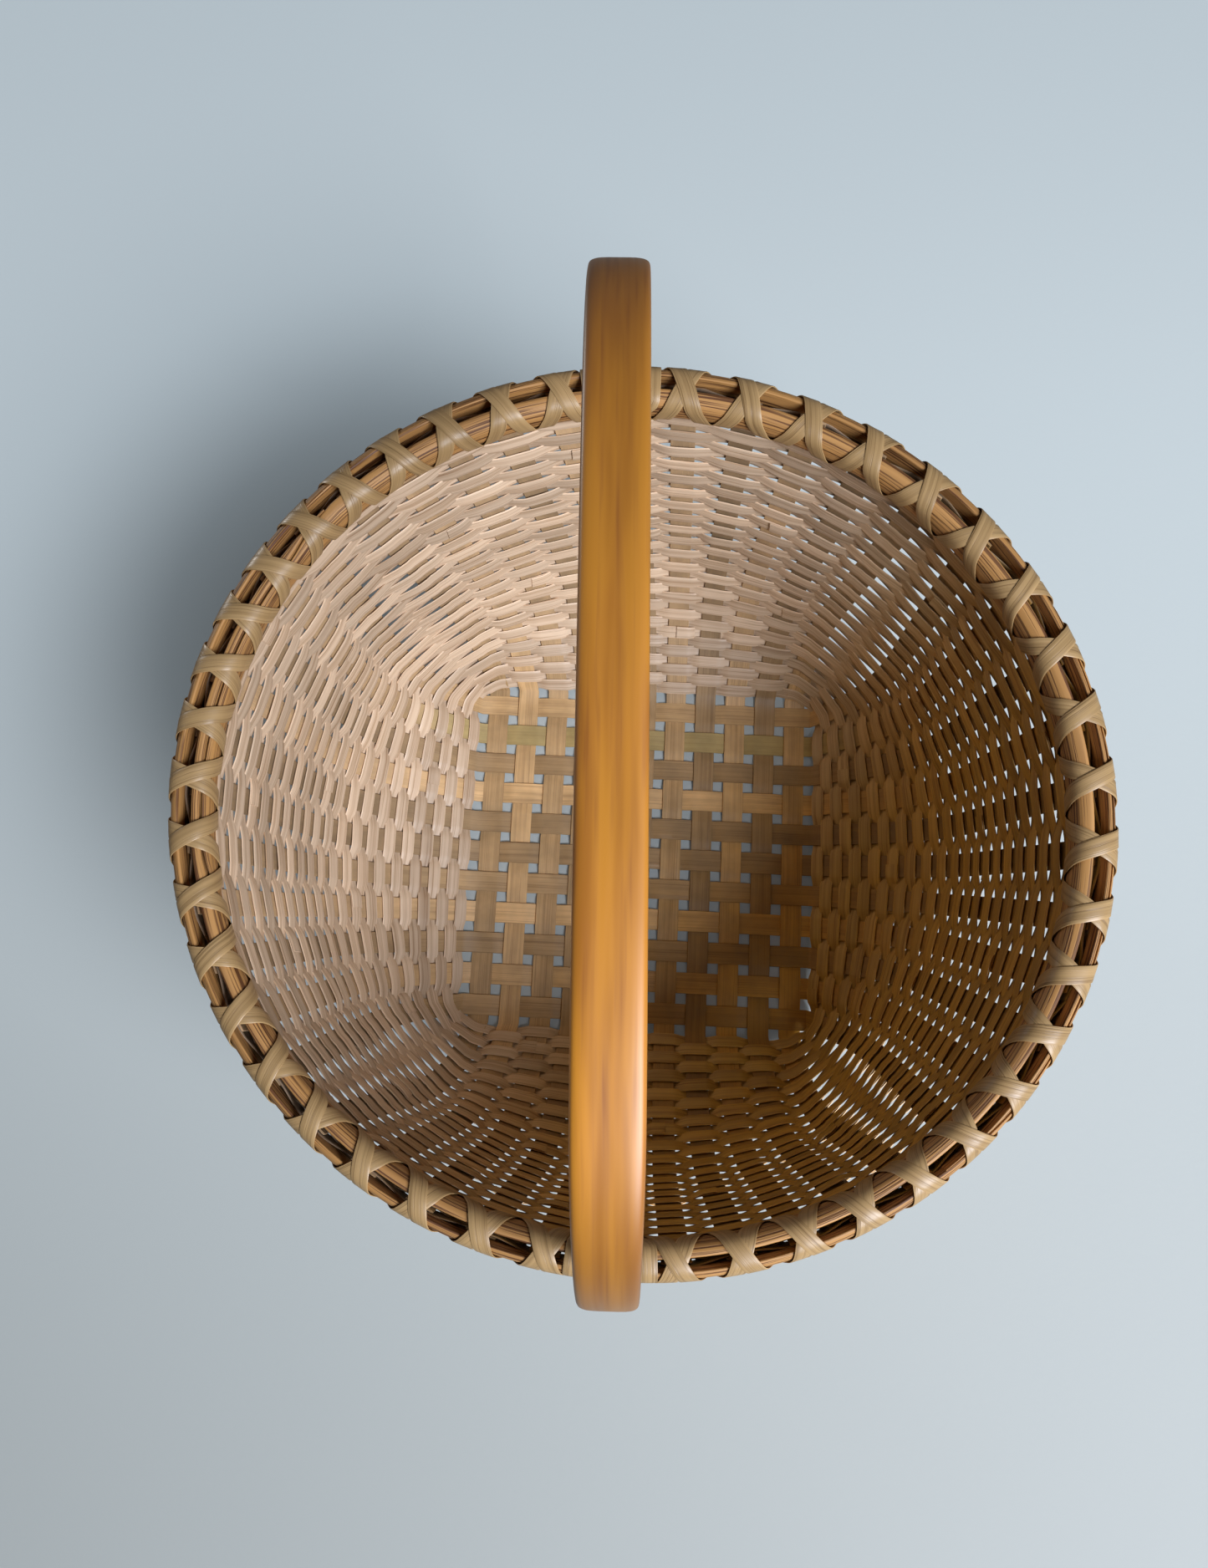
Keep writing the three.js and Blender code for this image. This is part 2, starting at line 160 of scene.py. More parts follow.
class BasketRim(bpy.types.PropertyGroup):
    """The two bent hoops, the thin band between them and the lashing that crosses over them"""

    top: length("Rim top", "Height of the top of the hoops", HOOP_HIGH.z)
    height: length("Rim height", "Height of the hoops", HOOP_HIGH.z - HOOP_LOW.z)
    outside: length("Outside", "Radius of the outer hoop's outside", 0.18907)
    outer_thickness: length("Outer thickness", "Thickness of the outer hoop", 0.0046)
    inner_outside: length("Inner outside", "Radius of the inner hoop's outside", 0.1791)
    inner_thickness: length("Inner thickness", "Thickness of the inner hoop", 0.0066)
    edge_rounding: length("Edge rounding", "How far the edges of each hoop are rounded", 0.0011)
    roundness: share("Roundness", "2 is an ellipse, more is squarer", 2.7)
    outer_scarf: angle("Outer scarf", "Where the outer hoop's scarf joint starts", -50)
    outer_lap: angle("Outer lap", "How far round that joint goes", 84)
    inner_scarf: angle("Inner scarf", "Where the inner hoop's scarf joint starts", 140)
    inner_lap: angle("Inner lap", "How far round that joint goes", 60)
    seam: length("Seam", "The gap between the two plies of a scarf joint", 0.0006)
    band_width: length("Band width", "Height of the thin band between the hoops", 0.0125)
    band_thickness: length("Band thickness", "Thickness of the thin band", 0.0006)
    band_drop: length("Band drop", "From the top of the hoops down to the thin band", 0.0055)
    lashing_width: length("Lashing width", "Width of the lashing strip", 0.0071)
    lashing_thickness: length("Lashing thickness", "Thickness of the lashing strip", 0.0005)
    lashing_tuck: share("Lashing tuck", "Its share of the way across where the underside ends", 0.13)
    light: colour("Light hoop", "The wood of the hoops", 200, 149, 86)
    dark: colour("Dark hoop", "The grain of the hoops", 96, 58, 26)
    lashing_light: colour("Light lashing", "The silky wood of the lashing", 184, 152, 104)
    lashing_dark: colour("Dark lashing", "The grain of the lashing", 114, 86, 48)


class BasketHandle(bpy.types.PropertyGroup):
    """The carved bail handle"""

    width: length("Width", "Width of the grip", 0.0212)
    thickness: length("Thickness", "Thickness of the grip", 0.008)
    top: length("Top", "Height of the top of the grip", HANDLE_HIGH.z)
    exponent: share("Arch exponent", "2 is an ellipse, more is squarer", 4.0)
    section_exponent: share("Section exponent", "The same for a cut through the grip", 4.2)
    arch_lift: length("Arch lift", "How far above the hoops the arch starts", 0.0031)
    leg_width: length("Leg width", "Width of a leg where the hoops clamp it", 0.017)
    leg_thickness: length("Leg thickness", "Thickness of a leg there", 0.0027)
    tuck_thickness: length("Tuck thickness", "Thickness of a leg below the hoops", 0.0046)
    tuck_length: length("Tuck length", "How far a leg goes down inside the wall", 0.078)
    tip_width: length("Tip width", "Width of the end of a leg", 0.012)
    light: colour("Light handle", "The honey wood of the handle", 217, 145, 42)
    dark: colour("Dark handle", "The streaks of the handle", 140, 76, 18)


class BasketRoom(bpy.types.PropertyGroup):
    """The table, the light and the camera"""

    table: colour("Table", "The pale table", 153, 156, 150)
    # Under the base the table is paler, and the camera's lift there is cut to its under share: a painted
    # shade.
    table_shade: colour("Table shade", "The table under the base", 168, 176, 174)
    # The camera's lift is painted light on the table, weaker at the near side than at the far side.
    near_lift: colour("Near lift", "What the camera sees added to the table's near side", 84, 93, 99)
    far_lift: colour("Far lift", "The same at the far side", 142, 156, 166)
    under_lift: share("Under lift", "The share of that under the base", 0.1)
    # The lift fades out round the shade's middle: a painted shadow of the basket.
    shade_reach: length("Shade reach", "How far the basket's shade reaches from its middle", 0.27)
    shade_middle: spot("Shade middle", "The middle of the basket's shade", -0.16, 0.12, 0)
    wall: colour("Wall", "The pale wall behind the table", 214, 222, 230)
    shine: share("Shine", "How much of the pale wall shows in what shines", 0.25)
    window: spot("Window", "Where the window's light comes from", 0.92, -0.82, 1.4)
    window_power: watts("Window power", "The window's light", 48)
    window_size: length("Window size", "How wide the window's light is", 1.0)
    far_room: spot("Far room", "Where the far end of the room throws light back from", -2.0, 1.5, 0.2)
    far_room_power: watts("Far room power", "The light that it throws back", 13)
    far_room_size: length("Far room size", "How wide that light is", 0.3)
    sky: share("Sky", "Strength of the light from all round", 0.022)
    sky_tint: colour("Sky tint", "The colour of the light from all round", 255, 205, 140)
    eye: spot("Eye", "Where the camera stands", -0.0011, -0.08434, 0.6553)
    tilt: angle("Tilt", "How far the camera looks away from straight down", 10.984)
    roll: angle("Roll", "How far the camera leans sideways", 1.14)
    turn: angle("Turn", "How far the camera is turned", 2.756)
    lens: share("Lens", "Focal length in millimetres on a 36 mm frame", 25.636)


SETTINGS = {
    "basket_wall": BasketWall,
    "basket_weavers": BasketWeavers,
    "basket_rim": BasketRim,
    "basket_handle": BasketHandle,
    "basket_room": BasketRoom,
}


# Shapes


def clamp(value, low=0.0, high=1.0):
    return max(low, min(high, value))


def ease(value):
    """From 0 to 1, slowly at both ends."""
    value = clamp(value)
    return value * value * (3 - 2 * value)


def mix(a, b, part):
    return a + (b - a) * part


def jitter(seed, size):
    """A small steady chance value between -size and size."""
    return (random.Random(seed * 7919 + 13).random() * 2 - 1) * size


def plan(turn):
    """The level way out from the middle at a turn."""
    return Vector((math.cos(turn), math.sin(turn), 0))


def side_ways(side):
    """The way out of a side of the base, and the way along that side."""
    outward = plan(side * math.pi / 2)
    return outward, UP.cross(outward)


def nearest_turn(turn, start):
    """A turn counted so that it lies within half a turn of a start."""
    return start + (turn - start + math.pi) % (2 * math.pi) - math.pi


def squarish(turn, exponent):
    """A point of a unit outline that is an ellipse at exponent 2 and squarer above it."""
    return [math.copysign(abs(x) ** (2 / exponent), x) for x in (math.cos(turn), math.sin(turn))]


def squared(across, along):
    """The way across squared up to the way along, and the way out that is square to both."""
    along = along.normalized()
    across = (across - along * across.dot(along)).normalized()
    return across, across.cross(along)


def spline(a, b, c, d, part):
    """The point between b and c on a smooth curve through four points, and its direction."""
    slope, bend, twist = c - a, 2 * a - 5 * b + 4 * c - d, 3 * b - a - 3 * c + d
    point = 0.5 * (2 * b + slope * part + bend * part**2 + twist * part**3)
    return point, 0.5 * (slope + 2 * bend * part + 3 * twist * part**2)


def run_along(points):
    """How far along a row of points each of them lies."""
    run = [0.0]
    for before, after in zip(points, points[1:]):
        run.append(run[-1] + (after - before).length)
    return run


def point_along(points, run, distance):
    """The point at a distance along a row of points, and the number of the one before it."""
    high = min(bisect.bisect_right(run, distance), len(run) - 1)
    part = (distance - run[high - 1]) / (run[high] - run[high - 1])
    return points[high - 1].lerp(points[high], part), high - 1


class Wall:
    """The surface that the uprights climb, by upright number and share of their length."""

    STEPS = 96  # points along an upright
    FOOT_TURN = 0.12  # the share of its length in which an upright turns to follow the wall
    ROLL_START = 0.13  # radius from which the rim's unevenness is felt
    FADE_START, FADE_HEIGHT = 0.002, 0.02  # above the hoops, where it fades out along the handle
    DOME_HEIGHT = 0.01  # what lies above this keeps its height

    def __init__(self, scene):
        self.size = size = scene.basket_wall
        self.weavers = scene.basket_weavers
        rim = scene.basket_rim
        self.half = (size.each_way - 1) // 2
        self.count = 4 * size.each_way
        self.foot_reach = self.half * size.pitch + size.splint_width / 2 + size.foot_margin
        self.rim_top, self.rim_bottom = rim.top, rim.top - rim.height
        self.outside, self.inside = rim.outside, rim.inner_outside - rim.inner_thickness
        self.collar = self.rim_bottom - size.collar
        self.bend = size.bend_radius * (size.wall_angle - size.foot_angle)
        bend_rise = size.foot_ramp * math.sin(size.foot_angle)
        bend_rise += size.bend_radius * (math.cos(size.foot_angle) - math.cos(size.wall_angle))
        self.steep = (self.collar - size.foot_height - bend_rise) / math.sin(size.wall_angle)
        self.slope = size.foot_ramp + self.bend + self.steep
        self.length = self.slope + size.upright_top - self.collar
        self.full_out = self.profile(self.length)[0]
        self.paths = [self.measured(n) for n in range(self.count)]

    def side(self, n):
        """Which side an upright is on, and its number on that side."""
        side, k = divmod(n % self.count, self.size.each_way)
        return side, k - self.half

    def number(self, side, k):
        return (side % 4) * self.size.each_way + k + self.half

    def profile(self, distance):
        """How far out and how high the middle of a side is, at a distance along it."""
        size = self.size
        low, high, radius = size.foot_angle, size.wall_angle, size.bend_radius
        ramp = clamp(distance, 0, size.foot_ramp)
        turned = low + clamp(distance - size.foot_ramp, 0, self.bend) / radius
        steep = clamp(distance - size.foot_ramp - self.bend, 0, self.steep)
        out = ramp * math.cos(low) + radius * (math.sin(turned) - math.sin(low)) + steep * math.cos(high)
        up = ramp * math.sin(low) + radius * (math.cos(low) - math.cos(turned)) + steep * math.sin(high)
        return out, up + max(0, distance - self.slope)

    def top_angle(self, n):
        """Where round the rim the top of an upright stands."""
        side, k = self.side(n)
        nominal = side * math.pi / 2 + k * 2 * math.pi / self.count
        lean = self.size.lean_left * math.sin(nominal) - self.size.lean_near * math.cos(nominal)
        return nominal + lean - self.size.skew * math.cos(2 * nominal)

    def space_angle(self, n):
        """The middle of the space between an upright and the next."""
        here = self.top_angle(n)
        return here + (self.top_angle(n + 1) - here) % (2 * math.pi) / 2

    def point(self, n, distance):
        size = self.size
        side, k = self.side(n)
        outward, sideways = side_ways(side)
        top = plan(self.top_angle(n)) * size.rim_radius
        out, up = self.profile(distance)
        reach = mix(self.foot_reach, top.dot(outward), out / self.full_out)
        climbed = min(1, up / (self.collar - size.foot_height))
        aside = mix(k * size.pitch, top.dot(sideways), climbed)
        return outward * reach + sideways * aside + UP * (size.foot_height + up)

    def measured(self, n):
        """Points of an upright at equal shares of its own length."""
        count = 2 * self.STEPS
        fine = [self.point(n, self.length * i / count) for i in range(count + 1)]
        run = run_along(fine)
        wanted = [run[-1] * step / self.STEPS for step in range(self.STEPS + 1)]
        return [point_along(fine, run, distance)[0] for distance in wanted]

    def at(self, n, height):
        """The point of an upright at a share of its length."""
        place = clamp(height) * self.STEPS
        step = min(int(place), self.STEPS - 1)
        path = self.paths[n % self.count]
        return path[step].lerp(path[step + 1], place - step)

    def up(self, n, height):
        look = 1.5 / self.STEPS
        return (self.at(n, height + look) - self.at(n, height - look)).normalized()

    def frame(self, place, height):
        """Centre, across, out and up of the wall at an upright or between two."""
        n = math.floor(place)
        part = place - n
        centre, across = spline(*(self.at(n + i, height) for i in (-1, 0, 1, 2)), part)
        up = self.up(n, height).lerp(self.up(n + 1, height), part).normalized()
        return centre, *squared(across, up), up

    def upright_frame(self, n, height):
        """The same of an upright, which turns from its straight run in the base to follow the wall."""
        centre, across, _, up = self.frame(n, height)
        sideways = side_ways(self.side(n)[0])[1]
        return centre, *squared(sideways.lerp(across, ease(height / self.FOOT_TURN)), up)

    def row_height(self, row):
        """The share of an upright's length at which a row of weavers passes it."""
        weavers = self.weavers
        pitch = (self.slope - weavers.first_lift - weavers.last_gap) / weavers.rows
        return (weavers.first_lift + (row + 0.5) * pitch) / self.length

    def shape_by_hand(self, point):
        """Towards the rim the basket grows oval and uneven. Its foot sits aside, and the base is domed."""
        size = self.size
        height = min(1, point.z / self.collar)
        oval, slant = size.oval * height, size.slant * height
        radius = math.hypot(point.x, point.y)
        roll = min(self.outside - radius, self.outside - self.inside)
        roll *= ease((radius - self.ROLL_START) / (self.inside - self.ROLL_START))
        roll *= 1 - ease((point.z - self.rim_top - self.FADE_START) / self.FADE_HEIGHT)
        scale = 1 - roll * size.uneven * point.y / max(radius, TIP) ** 2
        x = point.x * (scale + oval) - point.y * slant + size.base_aside_x * (1 - height)
        y = point.y * (scale - oval) - point.x * slant + size.base_aside_y * (1 - height)
        domed = clamp(1 - (radius / self.foot_reach) ** 2) * clamp(1 - point.z / self.DOME_HEIGHT)
        return Vector((x, y, point.z + size.dome * domed))


class Strip:
    """A strip of wood swept along its stations. For the grain, each vertex keeps its place across
    the section and its distance along the strip."""

    def __init__(self, section):
        self.section = section
        self.centres = []
        self.rings = []

    def station(self, centre, across, out, wide=1.0, thick=1.0, ring=None):
        """Adds a station. ring, if given, holds the place of each corner of the section there."""
        self.centres.append(centre)
        section = [(a * wide, o * thick) for a, o in self.section]
        self.rings.append(ring or [centre + across * a + out * o for a, o in section])

    def faces_in(self, ring):
        """1 where the upper face of the section looks into the basket, -1 where the lower one does."""
        middle = sum(ring, Vector()) / len(ring)
        upward = sum(((c - middle) * o for c, (_, o) in zip(ring, self.section)), Vector())
        return 1 if upward.dot(HEART - middle) > 0 else -1

    def make(self, wall, name, slot, wood, replaces=(), seed=0.0, tone=0.5, hue=0.0):
        """Rolls a grid up into the closed strip, shapes it by hand and puts it on the basket's body.
        Its tint attribute holds the tone, the hue and 1 on faces that look into the basket. On the hidden
        rows the tone is a painted shade, and the 1 marks where the painted shade of the inside may fall."""
        corners, stations = len(self.section), len(self.rings)
        rings = [[wall.shape_by_hand(corner) for corner in ring] for ring in self.rings]
        faces_in = [self.faces_in(ring) for ring in rings]
        runs = run_along(self.centres)
        mesh = bmesh.new()
        grain = mesh.verts.layers.float_vector.new("grain")
        tint = mesh.verts.layers.float_vector.new("tint")
        bmesh.ops.create_grid(mesh, x_segments=stations - 1, y_segments=corners, size=1)
        mesh.verts.ensure_lookup_table()
        seam = {}
        for i, vert in enumerate(mesh.verts):
            corner, station = divmod(i, stations)
            a, o = self.section[corner % corners]
            vert.co = rings[station][corner % corners]
            vert[grain] = (a, runs[station], seed)
            vert[tint] = (tone, hue, 1.0 if o * faces_in[station] > 0 else 0.0)
            if corner == corners:
                seam[vert] = mesh.verts[station]
        bmesh.ops.weld_verts(mesh, targetmap=seam)
        bmesh.ops.holes_fill(mesh, edges=[e for e in mesh.edges if e.is_boundary], sides=corners)
        bmesh.ops.recalc_face_normals(mesh, faces=mesh.faces)
        for edge in mesh.edges:
            edge.smooth = edge.calc_face_angle(0) < SHARP
        for face in mesh.faces:
            face.smooth = True
        piece = add_object(name, mesh, wood)
        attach(piece, "root")
        if replaces:
            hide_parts(*replaces)


def add_object(name, mesh, material):
    """Makes an object of a bmesh, and frees the bmesh."""
    data = bpy.data.meshes.new(name)
    mesh.to_mesh(data)
    mesh.free()
    data.materials.append(material)
    made = bpy.data.objects.new(name, data)
    bpy.context.scene.collection.objects.link(made)
    return made


def eased_section(width, thickness, edge_share=0.25, crown=0.0):
    """A flat strip's section. Its edges are eased over twice the edge share of its thickness, and crown
    bends its middle outwards."""
    w, t = width / 2, thickness / 2
    edge = w - min(thickness * edge_share * 2, w / 3)
    inner = w * 0.45
    top = [(-w, t * 0.35, 0), (-edge, t, 0), (-inner, t, crown * 0.8), (0, t, crown)]
    top += [(inner, t, crown * 0.8), (edge, t, 0), (w, t * 0.35, 0)]
    return [(a, o + lift) for a, o, lift in top] + [(a, lift - o) for a, o, lift in reversed(top)]


def heading(rows, i, reach=1):
    """The way on at one of the rows, which start with their centres."""
    return (rows[min(i + reach, len(rows) - 1)][0] - rows[max(i - reach, 0)][0]).normalized()


# Wood


class Signal:
    """A shader socket that can stand in a sum. Each sum adds its Math node."""

    def __init__(self, nodes, socket):
        self.nodes = nodes
        self.socket = socket

    def combine(self, operation, first, second):
        return self.nodes.node("ShaderNodeMath", {"operation": operation}, {0: first, 1: second})

    def __add__(self, other):
        return self.combine("ADD", self, other)

    def __radd__(self, other):
        return self.combine("ADD", other, self)

    def __sub__(self, other):
        return self.combine("SUBTRACT", self, other)

    def __rsub__(self, other):
        return self.combine("SUBTRACT", other, self)

    def __mul__(self, other):
        return self.combine("MULTIPLY", self, other)

    def __rmul__(self, other):
        return self.combine("MULTIPLY", other, self)


class Nodes:
    """The nodes of a material or a world."""

    def __init__(self, owner):
        owner.use_nodes = True
        self.tree = owner.node_tree

    def node(self, kind, settings=None, sockets=None, output=0):
        """Adds a node of a type, sets it up, fills or links its sockets, and gives one output."""
        made = self.tree.nodes.new(kind)
        for key, value in (settings or {}).items():
            setattr(made, key, value)
        self.feed(made, sockets or {})
        return Signal(self, made.outputs[output])

    def feed(self, node, sockets):
        for key, value in sockets.items():
            socket = node.inputs[key]
            if isinstance(value, Signal):
                self.tree.links.new(value.socket, socket)
            else:
                socket.default_value = (*value[:3], 1) if socket.type == "RGBA" else value


class Finish(Nodes):
    """A procedural material."""

    def __init__(self, name):
        self.material = bpy.data.materials.new(name)
        super().__init__(self.material)
        self.place = self.node("ShaderNodeTexCoord", output="Object")

    def set(self, **sockets):
        """Sets the shader's own sockets, with names such as Base_Color."""
        named = {key.replace("_", " "): value for key, value in sockets.items()}
        self.feed(self.tree.nodes["Principled BSDF"], named)

    def parts(self, vector):
        """The three numbers of a vector."""
        split = self.node("ShaderNodeSeparateXYZ", None, {0: vector}).socket.node
        return [Signal(self, output) for output in split.outputs]

    def attribute(self, name):
        """The three parts of one of the strip's own attributes."""
        return self.parts(self.node("ShaderNodeAttribute", {"attribute_name": name}, output="Vector"))

    def vector(self, x, y, z):
        return self.node("ShaderNodeCombineXYZ", None, {0: x, 1: y, 2: z})

    def measure(self, operation, vector, other):
        """A number that Vector Math finds from two vectors."""
        settings = {"operation": operation}
        return self.node("ShaderNodeVectorMath", settings, {0: vector, 1: other}, output="Value")

    def noise(self, vector, detail=2.0, roughness=0.5, scale=1.0):
        sockets = {"Vector": vector, "Scale": scale, "Detail": detail, "Roughness": roughness}
        return self.node("ShaderNodeTexNoise", None, sockets)

    def ramp(self, value, low, high, start=0.0, end=1.0):
        """Takes a value from low..high to start..end, smoothly, and holds it there."""
        sockets = {"Value": value, "From Min": low, "From Max": high, "To Min": start, "To Max": end}
        return self.node("ShaderNodeMapRange", {"interpolation_type": "SMOOTHSTEP"}, sockets)

    def mixed(self, factor, first, second, blend="MIX"):
        settings = {"data_type": "RGBA", "blend_type": blend}
        return self.node("ShaderNodeMix", settings, {0: factor, 6: first, 7: second}, output=2)

    def bump(self, height, distance, strength=1.0):
        sockets = {"Height": height, "Distance": distance, "Strength": strength}
        return self.node("ShaderNodeBump", None, sockets)


CLIMB = (0.003, 0.05)  # heights between which the base's wood gives way to the wall's
SHADE_SIDE_WAY = (0.8, -0.6, 0)  # to the right and the near side, where the inside faces away from the window and takes painted shade
SHADE_SIDE_RANGE = (-0.03, 0.12)  # how far that way the painted shade starts and is full
FAR_SIDE_SHADE = (-0.14, 0.17)  # along Y, over which the far side's painted shade comes in from the middle's brightness
NEAR_END_SHADE = (-0.172, -0.115)  # along Y, from the near end's painted shade to the middle's brightness


def strip_wood(name, light, dark, *, pores, gloss, variety, fine=0.0004, band=0.0022, reach=0.075,
               streaky=0.8, crisp=0.2, relief=0.00006, warm=0.12, patch=0.07, green=None, aloft=None,
               edge=0.0, edge_highlight=0.0, painted_shade_tint=None, far=1.0, end=1.0):
    """Split wood, whose grain follows each strip by the strip's own attributes.

    fine and band are the widths of its lines and streaks, reach is how long they are and patch how long
    its clouds are. pores and streaky say how dark, and a small crisp gives the lines hard edges. variety
    is how much strips differ, warm how much the clouds do. green is the colour of a greener piece, aloft
    that above the base. From near the half width edge the strip's edges turn lighter by the edge
    highlight's gain, a painted highlight. The painted shade tint multiplies the colour of what looks into
    the basket on its right and near side, a painted shade where the inside faces away from the window.
    far and end say how bright the far side and the near end are next to the middle, a painted shade
    where they are below 1."""
    wood = Finish(name)
    across, along, seed = wood.attribute("grain")
    tone, hue, inside = wood.attribute("tint")
    _, aside, height = wood.parts(wood.place)
    shift = seed * 37.0
    wander = across + wood.noise(wood.vector(along * 18.0, shift, 0.5), detail=1.0) * 0.0012
    lines = wood.noise(wood.vector(wander * (1 / fine), along * (1 / reach), shift))
    streaks = wood.noise(wood.vector(wander * (1 / band), along * (0.6 / reach), shift + 9.0))
    cloud_place = wood.vector(across * 60.0, along * (1 / patch), shift + 4.0)
    clouds = wood.noise(cloud_place, detail=3.0, roughness=0.6)
    line_mask = wood.ramp(lines, 0.5, 0.5 + crisp)
    streak_mask = wood.ramp(streaks, 0.35, 0.72)
    cloud_mask = wood.ramp(clouds, 0.3, 0.75)
    depth = line_mask * pores + streak_mask * (pores * streaky) + cloud_mask * (pores * 0.35)
    body = wood.mixed(depth, light, dark)
    if green:
        body = wood.mixed(hue, body, wood.mixed(depth * 0.6, green, dark))
    if aloft:
        climbed = wood.ramp(height, *CLIMB)
        body = wood.mixed(climbed, body, wood.mixed(depth * 0.8, aloft, light))
    value = tone * variety + (1.0 - variety * 0.5)
    # Painted highlight: the strip turns lighter towards its edges.
    if edge:
        value = value + wood.ramp(across * across, (edge * 0.84) ** 2, edge**2) * edge_highlight
    # Painted shade: darker towards the far side and at the near end, which leaves the middle as the lit
    # part.
    if far != 1.0:
        value = value * wood.ramp(aside, *FAR_SIDE_SHADE, 1.0, far)
        value = value * wood.ramp(aside, *NEAR_END_SHADE, end, 1.0)
    # Painted shade: faces that look into the basket on its right and near side, away from the window, are
    # darkened and browned.
    if painted_shade_tint:
        shade_side = wood.ramp(wood.measure("DOT_PRODUCT", wood.place, SHADE_SIDE_WAY), *SHADE_SIDE_RANGE)
        body = wood.mixed(shade_side * inside, body, wood.mixed(1.0, body, painted_shade_tint, "MULTIPLY"))
    value = value * wood.ramp(clouds, 0.25, 0.8, 1 - warm, 1 + warm * 0.3)
    body = wood.node("ShaderNodeVectorMath", {"operation": "SCALE"}, {0: body, "Scale": value})
    wood.set(Base_Color=body, Normal=wood.bump(line_mask * -0.6 + streaks * 0.5, relief))
    wood.set(Roughness=wood.ramp(lines + clouds, 0.6, 1.4, gloss - 0.06, gloss + 0.1))
    return wood


def splint_wood(scene):
    size = scene.basket_wall
    # The inside of the right and near walls takes a painted shade.
    return strip_wood("splint_wood", size.light, size.dark, pores=0.3, gloss=0.5, variety=0.7, warm=0.3,
                      patch=0.022, green=size.green, aloft=size.aloft, painted_shade_tint=size.painted_shade_tint).material


def weaver_wood(scene):
    size = scene.basket_weavers
    # The weavers' edges get a painted highlight, and the inside of the right and near walls a painted shade.
    return strip_wood("weaver_wood", size.light, size.dark, fine=0.0005, band=0.0025, pores=0.45, gloss=0.46,
                      relief=0.00005, variety=0.36, edge=size.width / 2, edge_highlight=0.28,
                      painted_shade_tint=scene.basket_wall.painted_shade_tint).material


def hoop_wood(scene):
    size = scene.basket_rim
    return strip_wood("hoop_wood", size.light, size.dark, fine=0.001, band=0.003, reach=0.06, pores=0.75,
                      streaky=0.4, gloss=0.55, relief=0.00015, variety=0.2, crisp=0.12).material


def lashing_wood(scene):
    size = scene.basket_rim
    # The lashing's edges get a painted highlight.
    return strip_wood("lashing_wood", size.lashing_light, size.lashing_dark, fine=0.00045, band=0.0018,
                      pores=0.45, gloss=0.4, relief=0.00007, variety=0.2, edge=size.lashing_width / 2,
                      edge_highlight=0.12).material


def handle_wood(scene):
    size = scene.basket_handle
    # The grip gets a painted shade on its far half and at its near end, so that its middle reads as the lit
    # part.
    wood = strip_wood("handle_wood", size.light, size.dark, fine=0.0024, band=0.0065, reach=0.055, pores=0.6,
                      crisp=0.5, gloss=0.42, relief=0.00002, variety=0.2, far=0.58, end=0.52)
    wood.set(Coat_Weight=0.5, Coat_Roughness=0.42)
    return wood.material


# Pieces


def base_level(wall, distance, parity):
    """How high a base splint's middle lies: over and under the splints that it crosses."""
    size = wall.size
    wave = size.splint_thickness / 2 + 0.00004  # which leaves air between two that cross
    middle = size.splint_thickness / 2 + wave + 0.00002  # which leaves air above the table
    plaited = (wall.half + 0.5) * size.pitch
    if abs(distance) > plaited:
        return mix(middle, size.foot_height, ease((abs(distance) - plaited) / (wall.foot_reach - plaited)))
    i = math.floor(distance / size.pitch)
    flat = size.splint_width / 2 / size.pitch
    turn = ease((distance / size.pitch - i - flat) / (1 - 2 * flat))
    hold = (1 if (i + parity) % 2 == 0 else -1) * (1 - 2 * turn)
    hold *= 1 - ease((abs(distance) - wall.half * size.pitch) / (size.pitch / 2))
    return middle + wave * hold


def base_splint(wall, side, k, over, seed):
    """One splint: down the far wall, across the base and up the near wall.
    over is 1 or -1 at the middle crossing."""
    size = wall.size
    outward, sideways = side_ways(side)
    width = size.splint_width * (1 + jitter(seed, 0.03))
    strip = Strip(eased_section(width, size.splint_thickness, edge_share=0.12))
    cut = 1 - abs(jitter(seed + 5, 0.02))
    wall_steps, pitch_steps = 56, 8
    climb = [cut * step / wall_steps for step in range(1, wall_steps + 1)]
    for height in reversed(climb):
        centre, across, out = wall.upright_frame(wall.number(side + 2, -k), height)
        strip.station(centre, -across, out)
    parity = k if over > 0 else k + 1
    look = 0.0008  # how far to either side the slope is taken
    base_steps = range(2 * wall.half * pitch_steps + 1)
    plaited = [(step / pitch_steps - wall.half) * size.pitch for step in base_steps]
    for distance in (-wall.foot_reach, *plaited, wall.foot_reach):
        rise = base_level(wall, distance + look, parity) - base_level(wall, distance - look, parity)
        if abs(distance) == wall.foot_reach:
            rise = math.copysign(math.sin(size.foot_angle / 2) * 2 * look, distance)
        level = base_level(wall, distance, parity)
        centre = outward * distance + sideways * (k * size.pitch) + UP * level
        strip.station(centre, *squared(sideways, outward * 2 * look + UP * rise))
    for height in climb:
        strip.station(*wall.upright_frame(wall.number(side, k), height))
    return strip


